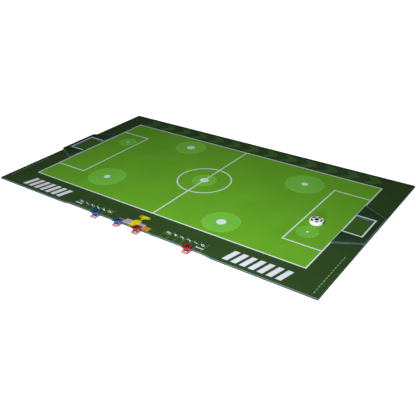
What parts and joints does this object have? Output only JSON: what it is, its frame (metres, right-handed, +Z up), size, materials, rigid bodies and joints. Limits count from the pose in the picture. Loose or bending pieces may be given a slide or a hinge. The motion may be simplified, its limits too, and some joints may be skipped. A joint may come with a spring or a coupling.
{
  "type": "tabletop flick puck soccer mat",
  "caption": "Rectangular printed soccer mat with a notched goal plate at each end, sliding spring clips along the front edge as score markers, and a flat puck.",
  "frame": {"origin": "centre of the printed field, on the flat underside of the mat", "axes": "+X from the left goal to the right goal, +Y from the score edge to the back edge, +Z up"},
  "size_m": [0.7085, 0.4372, 0.0119],
  "materials": {
    "printed_sheet": "satin print: bright green field, white lines, dark green border",
    "backing_foam": "matt foam rubber",
    "plate_core": "matt cut edge",
    "plate_print": "satin print with a white line around the goal",
    "puck_plastic": "glossy white",
    "puck_label": "printed ball pattern under gloss",
    "blue_plastic": "glossy moulded",
    "red_plastic": "glossy moulded",
    "clear_plastic": "clear moulded",
    "spring_steel": "bright strip"
  },
  "bodies": {
    "mat": {"mat_backing": "backing_foam", "mat_print_layer": "printed_sheet", "goal_plate_left_core": "plate_core", "goal_plate_left_face": "plate_print", "goal_plate_right_core": "plate_core", "goal_plate_right_face": "plate_print"},
    "puck": {"puck_body": "puck_plastic", "puck_label": "puck_label"},
    "clip_blue_goals": {"clip_blue_goals_lower_lever": "clear_plastic", "clip_blue_goals_spring": "spring_steel"},
    "clip_blue_goals_upper": {"clip_blue_goals_upper_lever": "blue_plastic"},
    "clip_blue_wins": {"clip_blue_wins_lower_lever": "clear_plastic", "clip_blue_wins_spring": "spring_steel"},
    "clip_blue_wins_upper": {"clip_blue_wins_upper_lever": "blue_plastic"},
    "clip_red_wins": {"clip_red_wins_lower_lever": "clear_plastic", "clip_red_wins_spring": "spring_steel"},
    "clip_red_wins_upper": {"clip_red_wins_upper_lever": "red_plastic"},
    "clip_red_goals": {"clip_red_goals_lower_lever": "clear_plastic", "clip_red_goals_spring": "spring_steel"},
    "clip_red_goals_upper": {"clip_red_goals_upper_lever": "red_plastic"}
  },
  "joints": [
    {"name": "puck_run", "type": "slide", "parent": "mat", "child": "puck", "axis": [0.9347, 0.3554, 0], "range_m": [-0.32, 0.072]},
    {"name": "clip_blue_goals_slide", "type": "slide", "parent": "mat", "child": "clip_blue_goals", "axis": [1, 0, 0], "range_m": [-0.0565, 0.0135]},
    {"name": "clip_blue_goals_squeeze", "type": "hinge", "parent": "clip_blue_goals", "child": "clip_blue_goals_upper", "pos_m": [-0.0832, -0.221, 0.0052], "axis": [1, 0, 0], "range_deg": [0, 14], "stiffness_Nm_per_rad": 0.08, "springref_deg": -11.46, "deforming": ["clip_blue_goals_spring"]},
    {"name": "clip_blue_wins_slide", "type": "slide", "parent": "mat", "child": "clip_blue_wins", "axis": [1, 0, 0], "range_m": [-0.014, 0.0135]},
    {"name": "clip_blue_wins_squeeze", "type": "hinge", "parent": "clip_blue_wins", "child": "clip_blue_wins_upper", "pos_m": [-0.0303, -0.221, 0.0052], "axis": [1, 0, 0], "range_deg": [0, 14], "stiffness_Nm_per_rad": 0.08, "springref_deg": -11.46, "deforming": ["clip_blue_wins_spring"]},
    {"name": "clip_red_wins_slide", "type": "slide", "parent": "mat", "child": "clip_red_wins", "axis": [1, 0, 0], "range_m": [-0.0155, 0.0135]},
    {"name": "clip_red_wins_squeeze", "type": "hinge", "parent": "clip_red_wins", "child": "clip_red_wins_upper", "pos_m": [0.0138, -0.221, 0.0052], "axis": [1, 0, 0], "range_deg": [0, 14], "stiffness_Nm_per_rad": 0.08, "springref_deg": -11.46, "deforming": ["clip_red_wins_spring"]},
    {"name": "clip_red_goals_slide", "type": "slide", "parent": "mat", "child": "clip_red_goals", "axis": [1, 0, 0], "range_m": [-0.0545, 0.0155]},
    {"name": "clip_red_goals_squeeze", "type": "hinge", "parent": "clip_red_goals", "child": "clip_red_goals_upper", "pos_m": [0.122, -0.221, 0.0052], "axis": [1, 0, 0], "range_deg": [0, 14], "stiffness_Nm_per_rad": 0.08, "springref_deg": -11.46, "deforming": ["clip_red_goals_spring"]}
  ]
}
